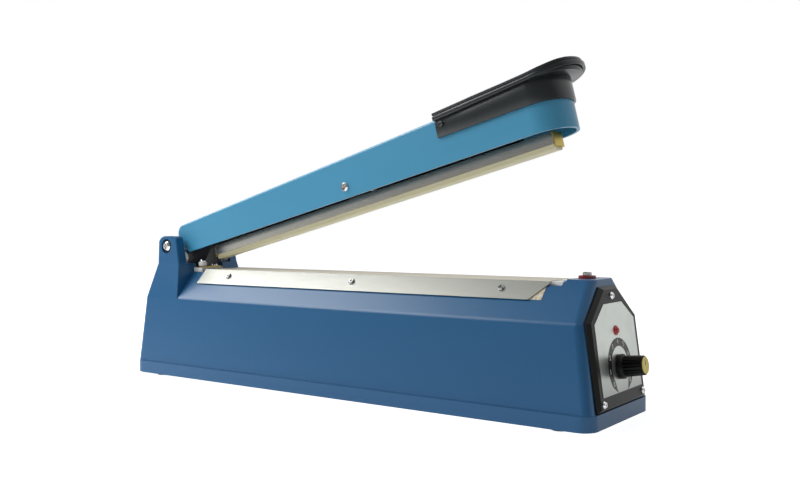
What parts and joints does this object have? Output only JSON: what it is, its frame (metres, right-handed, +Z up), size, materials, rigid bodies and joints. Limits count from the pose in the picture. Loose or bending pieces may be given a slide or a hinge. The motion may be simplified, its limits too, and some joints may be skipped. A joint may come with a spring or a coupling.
{
  "type": "hand impulse sealer for bags",
  "caption": "Hand impulse heat sealer for bag necks: long moulded base with sealing bed, sprung hinged arm with silicone press bar, timer knob and push button.",
  "frame": {"origin": "on the table, under the middle of the whole sealer with its arm raised, 7.8 mm in front of the middle of the base", "axes": "+X from the hinge to the front panel, +Y to the side that is on the left of someone looking along +X, +Z up"},
  "size_m": [0.4466, 0.095, 0.2397],
  "materials": {
    "blue_plastic": "satin moulded plastic",
    "arm_blue": "satin moulded plastic",
    "black_plastic": "gloss",
    "label_grey": "silver-grey, fine satin",
    "red_plastic": "gloss",
    "yellow_plastic": "gloss",
    "black_sheet": "black paint",
    "steel": "bright",
    "stainless": "bright",
    "chrome": "polished",
    "aluminium": "extruded",
    "brass": "dull",
    "rubber": "matt",
    "silicone": "matt cream",
    "cloth": "glass cloth, coated",
    "white_plastic": "satin",
    "nylon": "matt",
    "board_green": "lacquered board",
    "winding": "taped winding",
    "core": "laminated"
  },
  "bodies": {
    "base": {"base_housing": "blue_plastic", "bottom_plate": "steel", "rubber_feet": "rubber", "foot_screws": "steel", "front_panel": "black_plastic", "panel_label": "label_grey", "panel_screws": "steel", "indicator_lamp": "red_plastic", "timer_potentiometer": "steel", "timer_nut": "steel", "button_collar": "red_plastic", "collar_nut": "nylon", "micro_switch": "black_plastic", "switch_bracket": "steel", "button_spring": "steel", "sealing_bed": "aluminium", "insulating_tape": "cloth", "heating_ribbon": "steel", "ptfe_cloth": "cloth", "cloth_strip_near": "stainless", "cloth_strip_far": "stainless", "strip_screws": "chrome", "rear_terminal": "white_plastic", "terminal_plate": "brass", "terminal_bead": "white_plastic", "terminal_screws": "chrome", "front_terminal": "white_plastic", "front_terminal_screws": "chrome", "hinge_pin": "steel", "hinge_sleeves": "nylon", "hinge_washers": "rubber", "hinge_screws": "chrome", "return_springs": "steel", "cord_grommet": "rubber", "transformer_core": "core", "transformer_winding": "winding", "transformer_bracket": "steel", "transformer_screws": "steel", "board_posts": "nylon", "timer_board": "board_green", "board_components": "black_plastic"},
    "arm": {"arm_cover": "arm_blue", "arm_lever": "black_sheet", "lever_screws": "steel", "handle_grip": "black_plastic", "handle_screws": "steel", "bar_pivot_screw": "chrome", "bar_pivot_nut": "steel", "spring_rest_pin": "steel"},
    "press_bar": {"press_bar": "aluminium", "silicone_strip": "silicone", "bar_end_clips": "brass", "bar_guide_pins": "steel", "bar_hanger": "steel", "bar_springs": "steel"},
    "knob": {"timer_shaft": "steel", "timer_knob": "black_plastic", "knob_cap": "yellow_plastic"},
    "button": {"button_crown": "chrome", "switch_plunger": "white_plastic"}
  },
  "joints": [
    {"name": "arm_hinge", "type": "hinge", "parent": "base", "child": "arm", "pos_m": [-0.1958, 0, 0.111], "axis": [0, 1, 0], "range_deg": [0, 14.36], "stiffness_Nm_per_rad": 1.6, "springref_deg": -40.11, "deforming": ["return_springs"]},
    {"name": "press_bar_float", "type": "hinge", "parent": "arm", "child": "press_bar", "pos_m": [-0.1958, 0, 0.111], "axis": [0, 1, 0], "range_deg": [-0.76, 0], "deforming": ["bar_springs"]},
    {"name": "knob_turn", "type": "hinge", "parent": "base", "child": "knob", "pos_m": [0.22226, 0, 0.03937], "axis": [0.9909, 0, 0.1349], "range_deg": [-135, 135]},
    {"name": "switch_button_press", "type": "slide", "parent": "base", "child": "button", "axis": [0, 0, -1], "range_m": [0, 0.0015], "stiffness_N_per_m": 600, "springref_m": -0.002, "deforming": ["button_spring"]}
  ],
  "couplings": [
    {"joint": "press_bar_float", "follows": "arm_hinge", "ratio": -0.0529}
  ]
}
